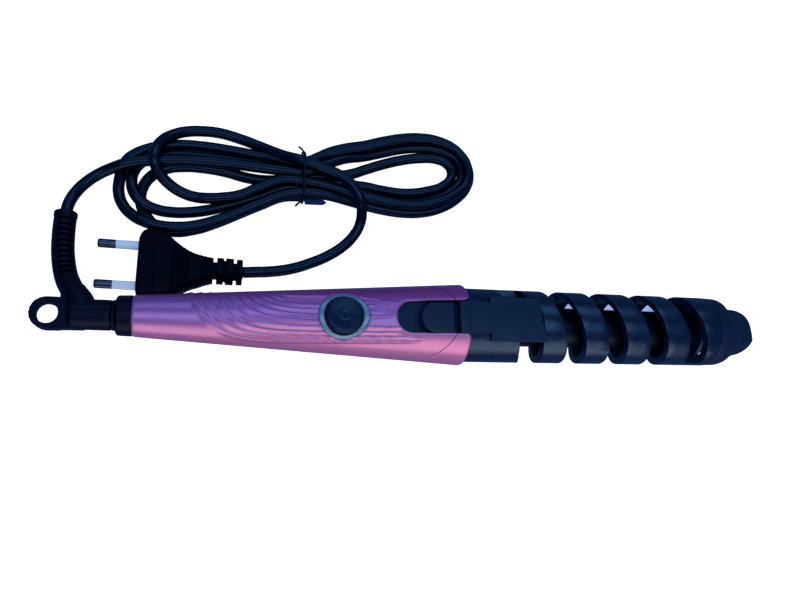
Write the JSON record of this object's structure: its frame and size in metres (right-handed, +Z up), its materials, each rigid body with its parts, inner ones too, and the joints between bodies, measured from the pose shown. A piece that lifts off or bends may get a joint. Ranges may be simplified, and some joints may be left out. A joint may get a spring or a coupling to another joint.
{
  "type": "spiral curling iron",
  "caption": "Spiral curling iron: tapered pink handle, power button, heated barrel inside a black spiral hair guide, cool tip, cord swivel with a hanging loop, and mains cord tied in a hank.",
  "frame": {"origin": "under the middle of the iron's length, on the surface it lies on, midway between the handle's sides", "axes": "+X from the hanging loop towards the cool tip, along the iron; +Z up, out of the power button; +Y towards the tied cord"},
  "size_m": [0.345, 0.1225, 0.0366],
  "materials": {
    "handle_shell": "metallic lacquer from purple to pink, embossed",
    "button_ring": "satin teal grey",
    "gloss_black": "polished black",
    "matte_black": "fine matte black",
    "cord_rubber": "soft black rubber",
    "barrel_coating": "dark ceramic coating",
    "steel": "bright",
    "contact_brass": "plain",
    "heater_aluminium": "extruded",
    "ceramic": "unglazed, heat resistant",
    "board": "solder resist",
    "wire_insulation": "silicone sleeve",
    "pin_sleeve": "pale blue insulation",
    "lamp_lens": "clear"
  },
  "bodies": {
    "cord_side": {"cord_boot": "cord_rubber", "swivel_shaft": "cord_rubber", "contact_ring_live": "contact_brass", "contact_ring_neutral": "contact_brass", "strain_relief": "cord_rubber", "cord_lead": "cord_rubber", "cord_hank": "cord_rubber", "cord_tail": "cord_rubber", "twist_tie": "cord_rubber", "plug_body": "cord_rubber", "plug_pin_live": "steel", "plug_pin_neutral": "steel", "pin_sleeve_live": "pin_sleeve", "pin_sleeve_neutral": "pin_sleeve"},
    "handle": {"handle_top_shell": "handle_shell", "handle_bottom_shell": "handle_shell", "shell_screw_rear": "steel", "shell_screw_front": "steel", "slot_floor": "matte_black", "button_ring": "button_ring", "circuit_board": "board", "tact_switch": "matte_black", "power_lamp": "lamp_lens", "heated_barrel": "barrel_coating", "barrel_bush": "ceramic", "barrel_end_plug": "ceramic", "heater_plate": "ceramic", "heater_clamp_upper": "heater_aluminium", "heater_clamp_lower": "heater_aluminium", "heater_lead_live": "wire_insulation", "heater_lead_neutral": "wire_insulation", "nose_bush": "gloss_black", "nose_screw": "steel", "return_spring": "steel", "tail_collar": "cord_rubber", "contact_brush_live": "contact_brass", "contact_brush_neutral": "contact_brass", "mains_lead_live": "wire_insulation", "mains_lead_neutral": "wire_insulation"},
    "button": {"power_button": "gloss_black"},
    "guard": {"spiral_guard": "gloss_black", "guard_tongue": "matte_black", "thumb_pad": "matte_black", "cool_tip": "matte_black"}
  },
  "joints": [
    {"name": "cord_swivel", "type": "hinge", "parent": "cord_side", "child": "handle", "pos_m": [-0.1413, 0, 0.019], "axis": [1, 0, 0], "continuous": true},
    {"name": "power_press", "type": "slide", "parent": "handle", "child": "button", "axis": [0, 0, -1], "range_m": [0, 0.0012], "stiffness_N_per_m": 600, "springref_m": -0.0005},
    {"name": "guard_slide", "type": "slide", "parent": "handle", "child": "guard", "axis": [-1, 0, 0], "range_m": [0, 0.0085], "stiffness_N_per_m": 250, "springref_m": -0.004, "deforming": ["return_spring"]}
  ]
}
